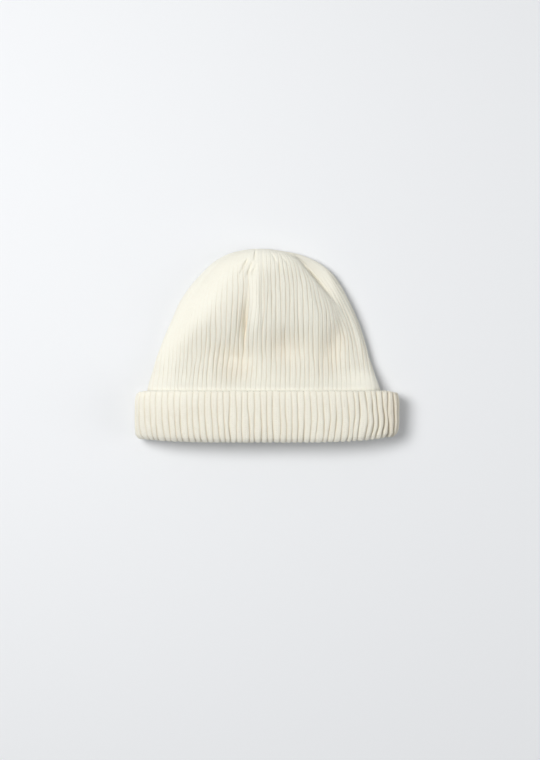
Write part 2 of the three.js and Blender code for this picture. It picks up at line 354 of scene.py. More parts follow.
class NodeGraph:
    """A node tree being written, with short ways to add and join its nodes."""

    def __init__(self, tree: bpy.types.NodeTree) -> None:
        """Starts on an empty tree."""
        self.tree = tree
        self.column = 0

    def add(self, kind: str, *inputs: object, **settings: object) -> bpy.types.Node:
        """Adds a node.

        Args:
            kind: The node's type name.
            inputs: For each of its inputs in order, an output to link, a value, or None to leave it.
            settings: Values for the node's own properties.

        Returns:
            The node.
        """
        node = self.tree.nodes.new(kind)
        node.location = (180 * self.column, 0)
        self.column += 1
        for name, value in settings.items():
            setattr(node, name, value)
        for socket, value in zip(node.inputs, inputs):
            self.feed(socket, value)
        return node

    def feed(self, socket: bpy.types.NodeSocket, value: object) -> None:
        """Links an output to a socket, or sets the socket's value.

        Args:
            socket: The input.
            value: An output, a value, or None to leave the input.
        """
        if isinstance(value, bpy.types.NodeSocket):
            self.tree.links.new(value, socket)
        elif value is not None:
            socket.default_value = value

    def feed_named(self, node: bpy.types.Node, values: dict[str, object]) -> None:
        """Feeds the inputs of a node by their names."""
        for name, value in values.items():
            self.feed(node.inputs[name], value)

    def math(self, operation: str, *values: object) -> bpy.types.NodeSocket:
        """Adds a Math node and returns its output."""
        return self.add("ShaderNodeMath", *values, operation=operation).outputs[0]

    def vector(self, operation: str, *values: object) -> bpy.types.NodeSocket:
        """Adds a Vector Math node.

        Args:
            operation: Its operation.
            values: Its inputs in order, with the scale third for SCALE.

        Returns:
            Its vector output.
        """
        node = self.add("ShaderNodeVectorMath", *values[:2], operation=operation)
        if operation == "SCALE":
            self.feed(node.inputs["Scale"], values[2])
        return node.outputs[0]

    def eased(self, value: object, *span: float) -> bpy.types.NodeSocket:
        """Maps a value smoothly between two ranges.

        Args:
            value: The value.
            span: The start and end of its own range, then those of the new range.

        Returns:
            The mapped value.
        """
        return self.add("ShaderNodeMapRange", value, *span, interpolation_type="SMOOTHSTEP").outputs[0]

    def signed(self, noise: bpy.types.NodeSocket) -> bpy.types.NodeSocket:
        """Spreads a noise from between 0 and 1 to between -1 and 1."""
        return self.math("MULTIPLY", self.math("SUBTRACT", noise, 0.5), 2.0)

    def off_middle(self, value: bpy.types.NodeSocket) -> bpy.types.NodeSocket:
        """How far the fraction of a value is from its middle, 0 there and 1 at both ends."""
        off = self.math("SUBTRACT", self.math("FRACT", value), 0.5)
        return self.math("MULTIPLY", self.math("ABSOLUTE", off), 2.0)

    def named(self, name: str, kind: str = "FLOAT") -> bpy.types.NodeSocket:
        """Reads a named attribute of the mesh in a Geometry Nodes tree.

        Args:
            name: The attribute's name.
            kind: Its data type.

        Returns:
            Its value.
        """
        node = self.add("GeometryNodeInputNamedAttribute", data_type=kind)
        node.inputs["Name"].default_value = name
        return node.outputs["Attribute"]


def open_socket(
    tree: bpy.types.NodeTree, name: str, kind: str, way: str = "INPUT", value: object = None
) -> None:
    """Adds a named input or output to a node group.

    Args:
        tree: The group.
        name: The socket's name.
        kind: The socket's type name.
        way: INPUT or OUTPUT.
        value: The input's default value.
    """
    socket = tree.interface.new_socket(name=name, in_out=way, socket_type=kind)
    if value is not None:
        socket.default_value = value


def open_floats(tree: bpy.types.NodeTree, values: dict[str, float]) -> None:
    """Adds named number inputs with their default values to a node group."""
    for name, value in values.items():
        open_socket(tree, name, "NodeSocketFloat", value=value)


def rib_tree() -> bpy.types.GeometryNodeTree:
    """Builds the tree that cuts the furrows between the ribs of a shell and lets the ribs wander.

    Returns:
        The tree.
    """
    tree = bpy.data.node_groups.new("rib knit", "GeometryNodeTree")
    open_socket(tree, "Geometry", "NodeSocketGeometry")
    open_floats(tree, {
        "Furrow Depth": 1.3 * MM,
        "Rib Fullness": 0.55,
        "Wander": 0.5 * MM,
        "Lean": 1.2 * MM,
        "Unevenness": 0.25 * MM,
        "Furrow Variety": 0.4,
        "Furrow Shift": 0.5 * MM,
        "Seed": 1.0,
        "Join": 0.002 * MM,
    })
    open_socket(tree, "Material", "NodeSocketMaterial")
    open_socket(tree, "Geometry", "NodeSocketGeometry", "OUTPUT")
    g = NodeGraph(tree)
    given = g.add("NodeGroupInput").outputs
    place = g.add("GeometryNodeInputPosition").outputs[0]
    relief = g.named("relief")
    number = g.named("rib")
    aside = g.off_middle(number)
    fall = g.math("MAXIMUM", g.math("SUBTRACT", 1.0, g.math("MULTIPLY", aside, aside)), 0.0)
    rise = g.math("MULTIPLY", g.math("POWER", fall, given["Rib Fullness"]), g.named("crest"))

    def over_hat(kind: Noise) -> bpy.types.NodeSocket:
        """Adds a noise from -1 to 1 over the hat.

        Args:
            kind: Which noise.

        Returns:
            Its value.
        """
        cycles, apart = kind.value
        at = g.vector("MULTIPLY", place, cycles)
        lift = g.math("ADD", given["Seed"], apart)
        return g.signed(g.add("ShaderNodeTexNoise", at, lift, 1.0, 1.0, noise_dimensions="4D").outputs[0])

    def by_furrow(kind: FurrowNoise) -> bpy.types.NodeSocket:
        """Adds a noise from -1 to 1 that differs from furrow to furrow and changes along each.

        Args:
            kind: Which noise.

        Returns:
            Its value.
        """
        apart, pace = kind.value
        furrow = g.math("MODULO", g.math("ROUND", number), float(RIBS))
        along = g.math("MULTIPLY", g.add("ShaderNodeSeparateXYZ", place).outputs[1], pace)
        at = g.add("ShaderNodeCombineXYZ", g.math("MULTIPLY", furrow, FURROW_STEP), along, apart).outputs[0]
        noise = g.add("ShaderNodeTexNoise", at, given["Seed"], 1.0, 1.0, noise_dimensions="4D")
        return g.signed(noise.outputs[0])

    swing = g.math("MULTIPLY_ADD", over_hat(Noise.DEPTH), DEPTH_SWING, 1.0)
    swing = g.math("MULTIPLY_ADD", by_furrow(FurrowNoise.DEPTH), given["Furrow Variety"], swing)
    swing = g.math("MAXIMUM", swing, LEAST_FURROW)
    depth = g.math("MULTIPLY", g.math("MULTIPLY", given["Furrow Depth"], relief), swing)
    sink = g.math("MULTIPLY", g.math("SUBTRACT", rise, 1.0), depth)
    uneven = g.math("MULTIPLY", over_hat(Noise.SURFACE), given["Unevenness"])
    uneven = g.math("MULTIPLY", uneven, relief)
    outward = g.vector("SCALE", g.named("out", "FLOAT_VECTOR"), None, g.math("ADD", sink, uneven))

    wander = g.math("MULTIPLY", over_hat(Noise.WANDER), given["Wander"])
    lean = g.math("MULTIPLY", over_hat(Noise.LEAN), given["Lean"])
    shift = g.math("MULTIPLY", by_furrow(FurrowNoise.SHIFT), given["Furrow Shift"])
    shift = g.math("MULTIPLY", shift, aside)
    aslant = g.math("ADD", g.math("ADD", wander, lean), shift)
    aslant = g.math("MULTIPLY", aslant, relief)
    sideways = g.vector("SCALE", g.named("across", "FLOAT_VECTOR"), None, aslant)

    moved = g.add("GeometryNodeSetPosition", given["Geometry"])
    g.feed(moved.inputs["Offset"], g.vector("ADD", outward, sideways))
    joined = g.add("GeometryNodeMergeByDistance", moved.outputs[0])
    g.feed(joined.inputs["Distance"], given["Join"])
    soft = g.add("GeometryNodeSetShadeSmooth", joined.outputs[0])
    real = g.add("GeometryNodeRealizeInstances", soft.outputs[0])
    dressed = g.add("GeometryNodeSetMaterial", real.outputs[0])
    g.feed(dressed.inputs["Material"], given["Material"])
    g.add("NodeGroupOutput", dressed.outputs[0])
    return tree


def run_tree(
    made: bpy.types.Object, tree: bpy.types.GeometryNodeTree, values: dict[str, object]
) -> bpy.types.Object:
    """Runs a tree on an object and keeps the result as the object's plain mesh.

    Args:
        made: The object.
        tree: The tree.
        values: A value for each of its inputs that isn't left at its default.

    Returns:
        The same object, without the modifier.
    """
    modifier = made.modifiers.new(tree.name, "NODES")
    modifier.node_group = tree
    known = {item.name: item.identifier for item in tree.interface.items_tree if item.in_out == "INPUT"}
    for name, value in values.items():
        modifier[known[name]] = value
    bpy.context.view_layer.update()
    evaluated = made.evaluated_get(bpy.context.evaluated_depsgraph_get())
    mesh = bpy.data.meshes.new_from_object(evaluated)
    made.modifiers.remove(modifier)
    made.data = mesh
    mesh.name = made.name
    return made


@dataclass(frozen=True)
class Stitch:
    """The shape of a stitch's two slanting legs and of the shade painted between them, in shares of half a
    rib and of a row.
    """

    roundness: float = 2.5
    parting: float = 0.22
    parting_height: float = 0.45
    leg_end: float = 0.7
    # From this share of half a rib, shade is painted into the furrow
    furrow_shade_start: float = 0.68
    shake_scale: float = 160.0
    shake_detail: float = 2.0
    # The speckle of shade painted into pits between the stitches' legs, and its power
    grain_scale: float = 650.0
    grain_detail: float = 1.0
    grain_from: float = 0.52
    grain_to: float = 0.72
    pit_power: float = 2.0
    relief_from: float = 0.1
    relief_to: float = 0.75
    least_drawn: float = 0.06

    def group(self) -> bpy.types.ShaderNodeTree:
        """Builds the shader group of the knit's stitches: two legs to a rib, row over row, and a mask of
        shade painted into the furrows and into pits between the legs.

        Returns:
            The group.
        """
        tree = bpy.data.node_groups.new("rib stitches", "ShaderNodeTree")
        open_socket(tree, "Knit", "NodeSocketVector")
        open_socket(tree, "Place", "NodeSocketVector")
        open_floats(tree, {"Relief": 1.0, "Slant": 0.85, "Unevenness": 0.9, "Pit Shade": 0.4})
        open_socket(tree, "Height", "NodeSocketFloat", "OUTPUT")
        open_socket(tree, "Furrow", "NodeSocketFloat", "OUTPUT")
        g = NodeGraph(tree)
        given = g.add("NodeGroupInput").outputs
        place = given["Place"]
        parts = g.add("ShaderNodeSeparateXYZ", given["Knit"]).outputs
        aside = g.off_middle(parts[0])
        noise = g.add("ShaderNodeTexNoise", place, None, self.shake_scale, self.shake_detail).outputs[0]
        shake = g.math("MULTIPLY", g.math("SUBTRACT", noise, 0.5), given["Unevenness"])
        slant = g.math("MULTIPLY", given["Slant"], -1.0)
        row = g.math("ADD", g.math("MULTIPLY_ADD", aside, slant, parts[1]), shake)
        leg = g.off_middle(row)
        round_leg = g.math("SUBTRACT", 1.0, g.math("POWER", leg, self.roundness))
        parted = g.eased(aside, 0.0, self.parting, self.parting_height, 1.0)
        fade = g.eased(aside, self.leg_end, 1.0, 1.0, 0.0)
        height = g.math("MULTIPLY", g.math("MULTIPLY", round_leg, parted), fade)
        # Painted shade: darker in the furrow between ribs and in speckled pits between the stitches' legs
        furrow = g.eased(aside, self.furrow_shade_start, 1.0, 0.0, 1.0)
        grain = g.add("ShaderNodeTexNoise", place, None, self.grain_scale, self.grain_detail).outputs[0]
        speck = g.add("ShaderNodeMapRange", grain, self.grain_from, self.grain_to, 0.0, 1.0).outputs[0]
        pit = g.math("MULTIPLY", g.math("POWER", leg, self.pit_power), speck)
        furrow = g.math("MAXIMUM", furrow, g.math("MULTIPLY", pit, given["Pit Shade"]))
        span = (self.relief_from, self.relief_to, self.least_drawn, 1.0)
        drawn = g.add("ShaderNodeMapRange", given["Relief"], *span).outputs[0]
        g.add("NodeGroupOutput", g.math("MULTIPLY", height, drawn), g.math("MULTIPLY", furrow, drawn))
        return tree


@dataclass(frozen=True)
class Cotton:
    """The cotton's colour, a soft mottle with shade painted into the furrows and dents, and the fine lie of
    its fibres.

    Each noise has its scale and its detail.
    """

    broad: tuple[float, float] = (38.0, 3.0)
    fine: tuple[float, float] = (420.0, 2.0)
    fibres: tuple[float, float] = (520.0, 4.0)

    def group(self) -> bpy.types.ShaderNodeTree:
        """Builds the shader group of the yarn, whose colour holds the mottle and the shade painted into
        furrows and dents.

        Returns:
            The group.
        """
        tree = bpy.data.node_groups.new("cotton yarn", "ShaderNodeTree")
        open_socket(tree, "Place", "NodeSocketVector")
        open_socket(tree, "Furrow", "NodeSocketFloat")
        open_socket(tree, "Dent Shade", "NodeSocketFloat")
        open_socket(tree, "Light Colour", "NodeSocketColor", value=(0.9, 0.88, 0.8, 1))
        open_socket(tree, "Shade And Mottle Colour", "NodeSocketColor", value=(0.8, 0.74, 0.62, 1))
        open_floats(tree, {"Mottle": 0.12, "Furrow Shade": 0.5, "Dent Shade Strength": 0.4})
        open_socket(tree, "Colour", "NodeSocketColor", "OUTPUT")
        open_socket(tree, "Fibres", "NodeSocketFloat", "OUTPUT")
        g = NodeGraph(tree)
        given = g.add("NodeGroupInput").outputs
        broad, fine, fibres = (
            g.add("ShaderNodeTexNoise", given["Place"], None, *kind).outputs[0]
            for kind in (self.broad, self.fine, self.fibres)
        )
        mottle = g.math("ADD", g.math("SUBTRACT", broad, 0.5), g.math("SUBTRACT", fine, 0.5))
        mottle = g.math("MULTIPLY", g.math("ADD", mottle, 0.5), given["Mottle"])
        # The colour moves towards the darker one with the random mottle and with the shade painted into
        # furrows and dents
        deep = g.math("MULTIPLY_ADD", given["Furrow"], given["Furrow Shade"], mottle)
        deep = g.math("MULTIPLY_ADD", given["Dent Shade"], given["Dent Shade Strength"], deep)
        mix = g.add("ShaderNodeMix", data_type="RGBA", clamp_factor=True)
        for socket, value in ((0, deep), (6, given["Light Colour"]), (7, given["Shade And Mottle Colour"])):
            g.feed(mix.inputs[socket], value)
        g.add("NodeGroupOutput", mix.outputs[2], fibres)
        return tree


@dataclass(frozen=True)
class Yarn:
    """The finish of one piece: the cream cotton, how its stitches lie there, and the shade painted into its
    furrows and dents.
    """

    name: str
    slot: str
    light: tuple[float, float, float] = (0.898, 0.893, 0.8)
    # The darker colour that the random mottle and the painted shade move towards
    deep: tuple[float, float, float] = (0.82, 0.71, 0.57)
    mottle: float = 0.2
    # How strongly shade is painted into the furrows and into the dents
    furrow_shade: float = 0.5
    dent_shade_strength: float = 0.26
    stitch_depth: float = 0.42 * MM
    fibre_depth: float = 0.32 * MM
    roughness: float = 0.92
    sheen: float = 0.25
    sheen_roughness: float = 0.6
    specular: float = 0.15

    def material(self) -> bpy.types.Material:
        """Builds the material from the shared groups.

        Returns:
            The material.
        """
        made = bpy.data.materials.new(self.name)
        made.use_nodes = True
        g = NodeGraph(made.node_tree)
        shader = made.node_tree.nodes["Principled BSDF"]
        place = g.add("ShaderNodeTexCoord").outputs["Object"]
        stitches = g.add("ShaderNodeGroup", node_tree=bpy.data.node_groups["rib stitches"])
        g.feed_named(stitches, {
            "Knit": g.add("ShaderNodeUVMap", uv_map="knit").outputs[0],
            "Place": place,
            "Relief": g.add("ShaderNodeAttribute", attribute_name="relief").outputs["Fac"],
        })
        yarn = g.add("ShaderNodeGroup", node_tree=bpy.data.node_groups["cotton yarn"])
        g.feed_named(yarn, {
            "Place": place,
            "Furrow": stitches.outputs["Furrow"],
            "Dent Shade": g.add("ShaderNodeAttribute", attribute_name="dent_shade").outputs["Fac"],
            "Light Colour": (*self.light, 1.0),
            "Shade And Mottle Colour": (*self.deep, 1.0),
            "Mottle": self.mottle,
            "Furrow Shade": self.furrow_shade,
            "Dent Shade Strength": self.dent_shade_strength,
        })
        rows = g.add("ShaderNodeBump")
        g.feed_named(rows, {"Distance": self.stitch_depth, "Height": stitches.outputs["Height"]})
        fibres = g.add("ShaderNodeBump")
        g.feed_named(fibres, {"Distance": self.fibre_depth, "Height": yarn.outputs["Fibres"]})
        g.feed(fibres.inputs["Normal"], rows.outputs[0])
        g.feed(shader.inputs["Base Color"], yarn.outputs["Colour"])
        g.feed(shader.inputs["Normal"], fibres.outputs[0])
        shader.inputs["Roughness"].default_value = self.roughness
        shader.inputs["Sheen Weight"].default_value = self.sheen
        shader.inputs["Sheen Roughness"].default_value = self.sheen_roughness
        shader.inputs["Specular IOR Level"].default_value = self.specular
        return made


CROWN_YARN = Yarn("crown yarn", "crown_knit")
CUFF_YARN = Yarn(
    "cuff yarn",
    "cuff_knit",
    light=(0.935, 0.918, 0.815),
    # A browner, darker colour for the cuff's mottle and painted shade
    deep=(0.73, 0.62, 0.475),
    furrow_shade=0.47,
)


class Knitted:
    """A piece of the hat that is knitted as one shell, with the CAD node that it stands for."""

    name: str
    node: str

    def shell(self) -> Shell:
        """Builds the shell, which each piece does in its own way."""
        raise NotImplementedError

    def ribbing(self) -> dict[str, float]:
        """Gives the rib tree's values, which each piece has for itself."""
        raise NotImplementedError

    def dress(self, tree: bpy.types.GeometryNodeTree, yarn: Yarn) -> bpy.types.Object:
        """Builds the piece, ribs it and gives it its yarn.

        Args:
            tree: The rib tree.
            yarn: The finish.

        Returns:
            The piece's object.
        """
        made = self.shell().build()
        run_tree(made, tree, {**self.ribbing(), "Material": yarn.material()})
        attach(made, BODY)
        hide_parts(self.node)
        return made


@dataclass
class Crown(Knitted):
    """The knitted tube of the hat, whose ribs are decreased along four lines and drawn together at the top.

    The columns of its table: y, the outline's left and right, the height of the front, of the widest place
    and of the back, the exponents of the oval's front and back halves, and how many ribs are left in half of
    a front or back panel and in half of a side panel.

    A patch of the folds or of the drawn knit has its middle, its reach to the left of that and along it,
    how many times as far it reaches to the right, the lean of its long way in degrees from +Y towards +X,
    and its amount. A sway has its share of the way round, y, its reach round and along, and its shift
    towards +X on the front.
    """

    name: str = "crown_knit"
    node: str = "crown"
    wall: float = 3.4
    top_wall: float = 5.4
    furrow: float = 0.88
    inside_furrow: float = 0.6
    full_pitch: float = 4.3  # rib width from which the furrows are fully deep
    relief_rise: float = 2.5  # how fast the furrows deepen from the top's middle
    row_step: float = 1.45
    hidden_step: float = 3.0
    inside_step: float = 3.2
    hidden_below: float = -46.0  # the y under which the cuff hides the crown
    fine_places: int = 240
    tracks: tuple[float, ...] = (0.0, 0.22, 0.5, 0.78)  # where round the hat steps are measured
    panel_middle: float = -4.0
    top: tuple[float, float, float] = (-6.0, HALF_LENGTH, 9.5)
    top_rise: float = 9.0  # how much rows of stitches add over the gathered top
    pucker: float = 1.6
    pucker_reach: float = 0.3
    inside_top: float = 2.0
    cap: tuple[float, ...] = (0.86, 0.7, 0.54, 0.38, 0.22, 0.1, 0.0)  # rings under the top
    cap_rows: float = 8.0
    beside: float = 0.06  # from a place to a place close by
    highest: float = -0.97  # the nearest of those places to the top's middle
    front_fade: float = 0.6  # share of the front's rise over which folds fade in
    full_dent_shade: float = 9.0  # depth of a dent that has the full painted shade
    least_loss: float = -0.5
    most_loss: float = 0.82
    drawn_from: float = 0.2  # share of the back's rise from which the knit is drawn
    sections: Table = Table(
        ("y", "left", "right", "high", "edge", "under", "round", "belly", "panel", "side"),
        (
            (84.0, -13.5, 2.0, 13.5, 8.5, 4.5, 2.0, 2.4, 6.0, 0.8),
            (82.4, -24.0, 12.5, 17.0, 7.5, 2.2, 2.0, 2.8, 10.0, 1.5),
            (79.1, -35.0, 29.0, 21.0, 7.0, 0.7, 2.0, 3.2, 13.5, 2.8),
            (72.2, -46.8, 44.8, 25.5, 6.6, 0.0, 2.05, 3.4, 16.5, 3.8),
            (63.0, -56.4, 56.4, 28.5, 6.4, 0.0, 2.1, 3.4, 18.6, 4.2),
            (51.6, -66.6, 64.4, 31.0, 6.4, 0.0, 2.15, 3.4, 20.4, 4.3),
            (37.8, -75.7, 71.8, 32.5, 6.4, 0.0, 2.2, 3.4, 22.4, 4.4),
            (22.0, -82.7, 78.8, 31.4, 6.4, 0.0, 2.3, 3.4, 24.8, 4.6),
            (7.0, -89.2, 84.0, 26.2, 6.6, 0.0, 2.4, 3.4, 27.6, 4.9),
            (-10.0, -95.5, 88.6, 21.2, 7.6, 0.0, 2.6, 3.6, 30.4, 5.3),
            (-26.0, -100.2, 93.8, 25.6, 9.6, 1.4, 2.9, 3.6, 32.0, 5.5),
            (-36.0, -102.8, 97.2, 31.8, 12.5, 4.6, 2.9, 3.2, 32.0, 5.5),
            (-46.0, -104.0, 99.8, 32.6, 14.5, 5.2, 2.7, 3.0, 32.0, 5.5),
            (-58.0, -105.4, 103.2, 32.8, 16.0, 5.6, 2.8, 3.0, 32.0, 5.5),
            (HEM, -107.0, 106.9, 31.4, 17.0, 6.9, 2.8, 3.0, 32.0, 5.5),
        ),
    )
    # Soft folds of the front, with a negative lift for a dent
    folds: Table = Table(
        ("x", "y", "across", "along", "right", "turn", "lift"),
        (
            (-10.8, 40, 5.4, 42, 1, 0, 0.9),
            (-19.0, 18, 7.5, 18, 0.25, 2, -5.9),
            (-17.7, 23, 2.6, 26, 0.4, 3, -3.6),
            (-17.4, 20, 0.7, 24, 1, 3, -2.4),
            (-29, -13, 17.5, 14, 0.9, 35, -8.4),
            (-4.0, 40, 1.2, 38, 1, 0, -1.4),
            (13, -1.5, 12, 14, 1.9, 0, -6.6),
            (42.5, 58, 1.6, 25, 7.5, -40, -5.6),
            (39, 38, 6, 24, 1, -14, 1.0),
            (40.5, 59.5, 0.7, 17, 1.8, -41, -3.2),
            (66, 43, 3.6, 18, 0.7, -30, 1.0),
            (80, 8, 3.6, 22, 0.7, -17, 2.2),
            (61, 7, 8, 14, 0.9, 6, -4.6),
            (54, -9, 11, 15, 0.9, 6, -5.2),
            (91, -28, 15, 12, 1, 0, 2.6),
            (76, 12, 9, 22, 1, -16, -1.4),
            (0, -37.2, 200, 4.2, 1, 0, 2.0),
            (-18.5, 71, 1.0, 4, 1, 30, -3.0),
            (-14, 69, 1.0, 4, 1, 27, -2.4),
            (-15.5, 63.5, 1.0, 4, 1, 32, -2.8),
            (-11.2, 65, 1.0, 4, 1, 24, -2.4),
            (-10.3, 78, 1.0, 5, 1, 8, -2.2),
            (-22, 64, 1.0, 4, 1, 30, -1.8),
            (6, 76, 0.9, 5, 1, -28, -1.4),
            (10.8, 67, 0.9, 4.5, 1, -6, -1.7),
            (16, 73, 0.9, 5, 1, -38, -1.0),
        ),
    )
    # Where the furrows are shallow, or deeper where the loss is negative
    drawn: Table = Table(
        ("x", "y", "across", "along", "right", "turn", "loss"),
        (
            (-10.5, 38, 5.4, 40, 1, 0, 0.75),
            (-60, 54, 26, 50, 1, 33, 1.2),
            (-87, 10, 21, 36, 1, 14, 0.8),
            (-8, 80, 42, 15, 1, 0, 0.7),
            (45, 58, 3, 26, 6, -38, 0.97),
            (61.5, 53, 2.6, 28, 1, -31, -0.7),
            (0, 2, 200, 13, 1, 0, -0.15),
            (-38, -4, 18, 15, 1, 20, -0.5),
            (0, -37, 200, 14, 1, 0, 0.6),
            (84, -28, 18, 13, 1, 0, 0.45),
        ),
    )
    # Where the ribs sway from their straight way
    sways: Table = Table(
        ("turn", "y", "round", "along", "shift"),
        (
            (-0.25, -40, 0.07, 44, 11.0),
            (-0.2, -52, 0.12, 28, 6.0),
            (0.25, -44, 0.08, 40, -8.0),
            (0.15, -52, 0.12, 28, -8.0),
            (-0.05, 42, 0.05, 28, 4.5),
        ),
    )

    def sway(self, share: np.ndarray, y: float) -> np.ndarray:
        """How far the ribs have swayed from their straight way.

        Args:
            share: Shares of the way round.
            y: The height along the hat.

        Returns:
            The distance at each share.
        """
        turn = half_turns(share)
        total = np.zeros_like(share)
        for middle, mid_y, wide, along, shift in self.sways.rows:
            total = total + shift * np.exp(-(((turn - middle) / wide) ** 2) - ((y - mid_y) / along) ** 2)
        return total

    def patches(self, table: Table, x: np.ndarray, y: np.ndarray) -> np.ndarray:
        """Adds up the soft patches of a table.

        Args:
            table: The table.
            x: The points' x.
            y: Their y.

        Returns:
            The sum at each point.
        """
        total = np.zeros_like(x)
        for mid_x, mid_y, across, along, right, turn, amount in table.rows:
            lean = math.radians(turn)
            dx, dy = x - mid_x, y - mid_y
            a = (dx * math.cos(lean) - dy * math.sin(lean)) / across
            a = a / np.where(a > 0, right, 1.0)
            b = (dx * math.sin(lean) + dy * math.cos(lean)) / along
            total = total + amount * np.exp(-a * a - b * b)
        return total

    def lift(self, place: float, x: np.ndarray, y: np.ndarray, z: np.ndarray) -> np.ndarray:
        """How far the soft folds lift the front, and the back not at all.

        Args:
            place: The place in the table.
            x: The points' x.
            y: Their y.
            z: Their height.

        Returns:
            The lift at each point.
        """
        s = self.sections.at(place)
        front = smooth((z - s["edge"]) / (s["high"] - s["edge"]) / self.front_fade)
        return front * self.patches(self.folds, x, y)

    def face(self, place: float, share: np.ndarray) -> np.ndarray:
        """The right side without its ribs.

        Args:
            place: The place in the table. From -1 to 0 it lies on the gathered top.
            share: Shares of the way round.

        Returns:
            Points in millimetres.
        """
        section = self.sections.at(max(place, 0.0))
        x, z = Oval(section).along(self.panel_middle, share)
        y = np.full_like(x, section["y"])
        y = y + bow(x, section["y"])
        z = z + self.lift(place, x, y, z)
        points = np.stack([x, y, z], axis=1)
        if place >= 0:
            return points
        reach = 1.0 + place
        centre = np.array(self.top)
        points = centre + reach * (points - centre)
        points[:, 1] = self.top[1] - (self.top[1] - section["y"]) * reach**2
        points[:, 1] -= self.pucker * math.exp(-((reach / self.pucker_reach) ** 2))
        return points

    def directions(self, place: float, share: np.ndarray) -> tuple[np.ndarray, np.ndarray]:
        """Finds which way the right side faces.

        Args:
            place: The place in the table.
            share: Shares of the way round.

        Returns:
            The outward directions and those across the ribs.
        """
        last = len(self.sections.rows) - 1
        across = unit(self.face(place, share + BESIDE) - self.face(place, share - BESIDE))
        before, after = max(place - self.beside, self.highest), min(place + self.beside, last)
        down = self.face(after, share) - self.face(before, share)
        return unit(np.cross(down, across)), across

    def widths(self, section: dict[str, float]) -> np.ndarray:
        """Finds how wide each rib is.

        Args:
            section: The section, with the ribs that are left in its panels.

        Returns:
            Shares of the full width, from the front's middle round by the right.
        """
        k = np.arange(RIBS)
        from_front = np.minimum(k, RIBS - 1 - k)
        from_middle = np.where(from_front < RIBS // 4, from_front, RIBS // 2 - 1 - from_front)
        in_panel = from_middle < PANEL_RIBS
        left = np.where(in_panel, section["panel"], section["side"])
        index = np.where(in_panel, from_middle, SIDE_RIBS - 1 - (from_middle - PANEL_RIBS))
        width = smooth((left - index + 0.5) / np.where(in_panel, PANEL_FADE, RIB_FADE))
        return np.where(width < LEAST_RIB, 0.0, width)

    def ring(self, place: float, gauge: Gauge, sunk: float, row: float) -> Ring:
        """A ring of the crown.

        Args:
            place: The place in the table.
            gauge: Its columns to a rib.
            sunk: How far it lies under the right side, so that the wall's inside is reached.
            row: The row of stitches that it lies on.

        Returns:
            The ring.
        """
        section = self.sections.at(max(place, 0.0))
        width = self.widths(section)
        before = np.concatenate([[0.0], np.cumsum(width)[:-1]])
        phase = np.array(gauge.value)
        left = width > 0
        share = ((before[left, None] + phase[None, :] * width[left, None]) / width.sum()).ravel()
        around = Oval(section).around
        share = share + self.sway(share, section["y"]) / around
        rib = (np.arange(RIBS)[left, None] + phase[None, :]).ravel()
        crest = np.repeat(np.minimum(1.0, width[left] / FULL_CREST), len(phase))
        out, across = self.directions(place, share)
        face = self.face(place, share)
        reach = min(1.0, 1.0 + place)
        pitch = around * reach / width.sum()
        relief = min(1.0, pitch / self.full_pitch) * smooth(reach * self.relief_rise)
        relief = np.full(len(share), relief)
        if sunk > 0:
            relief = relief * self.inside_furrow / self.furrow
            return Ring(rib, row, face - sunk * out, -out, across, crest, relief)
        x, y, z = face.T
        loss = np.clip(self.patches(self.drawn, x, y), self.least_loss, self.most_loss)
        upper = smooth((z - section["under"]) / (section["edge"] - section["under"]) - self.drawn_from)
        # Shade painted into the dents, the more the deeper the folds sink
        dent_shade = np.clip(-self.lift(place, x, y, z) / self.full_dent_shade, 0.0, 1.0)
        return Ring(rib, row, face, out, across, crest, relief * (1.0 - upper * loss), dent_shade)

    def spaced(self, low: float, high: float, step: float) -> list[float]:
        """Picks places of the table that lie about a step apart on the crown.

        Args:
            low: The first place.
            high: The last place.
            step: The distance wanted.

        Returns:
            The places.
        """
        fine = np.linspace(low, high, self.fine_places)
        tracks = np.stack([self.face(place, np.array(self.tracks)) for place in fine])
        return evenly(fine, np.linalg.norm(np.diff(tracks, axis=0), axis=2).mean(axis=1), step)

    def shell(self) -> Shell:
        """Builds the whole crown: right side from the top to the hem, and wrong side back to the top.

        Returns:
            The shell.
        """
        last = len(self.sections.rows) - 1
        hidden = self.sections.place_of(self.hidden_below)
        seen = self.spaced(-1.0, hidden, self.row_step)
        under_cuff = self.spaced(hidden, last, self.hidden_step)[1:]
        inside = self.spaced(self.inside_top, last, self.inside_step)[::-1]
        rounds = [(place, Gauge.FINE, 0.0) for place in seen + under_cuff]
        rounds += [(place, Gauge.INSIDE, self.wall) for place in inside]
        shell = Shell(self.name)
        y_hem = self.sections.rows[-1][0]
        for place, gauge, sunk in rounds:
            y = self.sections.at(max(place, 0.0))["y"] + max(0.0, -place) * self.top_rise
            shell.rings.append(self.ring(place, gauge, sunk, (y - y_hem) / ROW_HEIGHT))
        shell.rings += self.inside_cap(shell.rings[-1])
        return shell

    def inside_cap(self, rim: Ring) -> list[Ring]:
        """Draws the inside together under the top.

        Args:
            rim: The last full ring of the inside.

        Returns:
            The rings from there to the middle.
        """
        centre = np.array(self.top) - np.array([0.0, self.top_wall, 0.0])
        rings = []
        for reach in self.cap:
            place = centre + reach * (rim.place - centre)
            place[:, 1] = centre[1] + (rim.place[:, 1] - centre[1]) * reach**2
            out = unit(rim.out * reach + np.array([0.0, -1.0, 0.0]) * (1 - reach))
            row = rim.row + (1 - reach) * self.cap_rows
            rings.append(Ring(rim.rib, row, place, out, rim.across, rim.crest, rim.relief * reach))
        return rings

    def ribbing(self) -> dict[str, float]:
        """Gives the rib tree's values for the crown."""
        return {
            "Furrow Depth": self.furrow * MM,
            "Rib Fullness": 0.38,
            "Wander": 0.6 * MM,
            "Lean": 1.2 * MM,
            "Unevenness": 0.32 * MM,
            "Furrow Variety": 2.1,
            "Furrow Shift": 2.7 * MM,
            "Seed": 4.0,
        }


